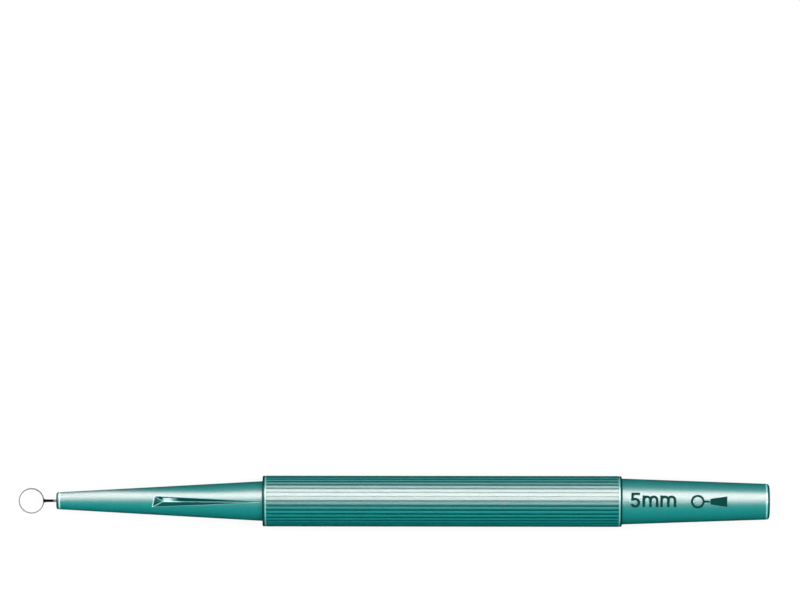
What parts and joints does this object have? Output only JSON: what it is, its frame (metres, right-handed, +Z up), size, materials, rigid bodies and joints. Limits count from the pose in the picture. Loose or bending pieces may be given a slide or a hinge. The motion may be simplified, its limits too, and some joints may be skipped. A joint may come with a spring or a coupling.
{
  "type": "ring curette",
  "caption": "Slim skin curette with a ribbed round handle, a tapered nose, a thin steel shank and a sharpened steel ring.",
  "frame": {"origin": "the table, under the middle of the instrument's length", "axes": "+X along the handle from the ring to the rear end, +Z up as it lies on its ribs, with the mark on the nose facing up"},
  "size_m": [0.1474, 0.01, 0.01],
  "materials": {
    "handle_plastic": "satin, with a fine pearl grain",
    "shank_steel": "drawn, dark",
    "blade_steel": "ground and honed"
  },
  "bodies": {
    "root": {"handle": "handle_plastic", "shank": "shank_steel", "ring_blade": "blade_steel"}
  },
  "joints": []
}
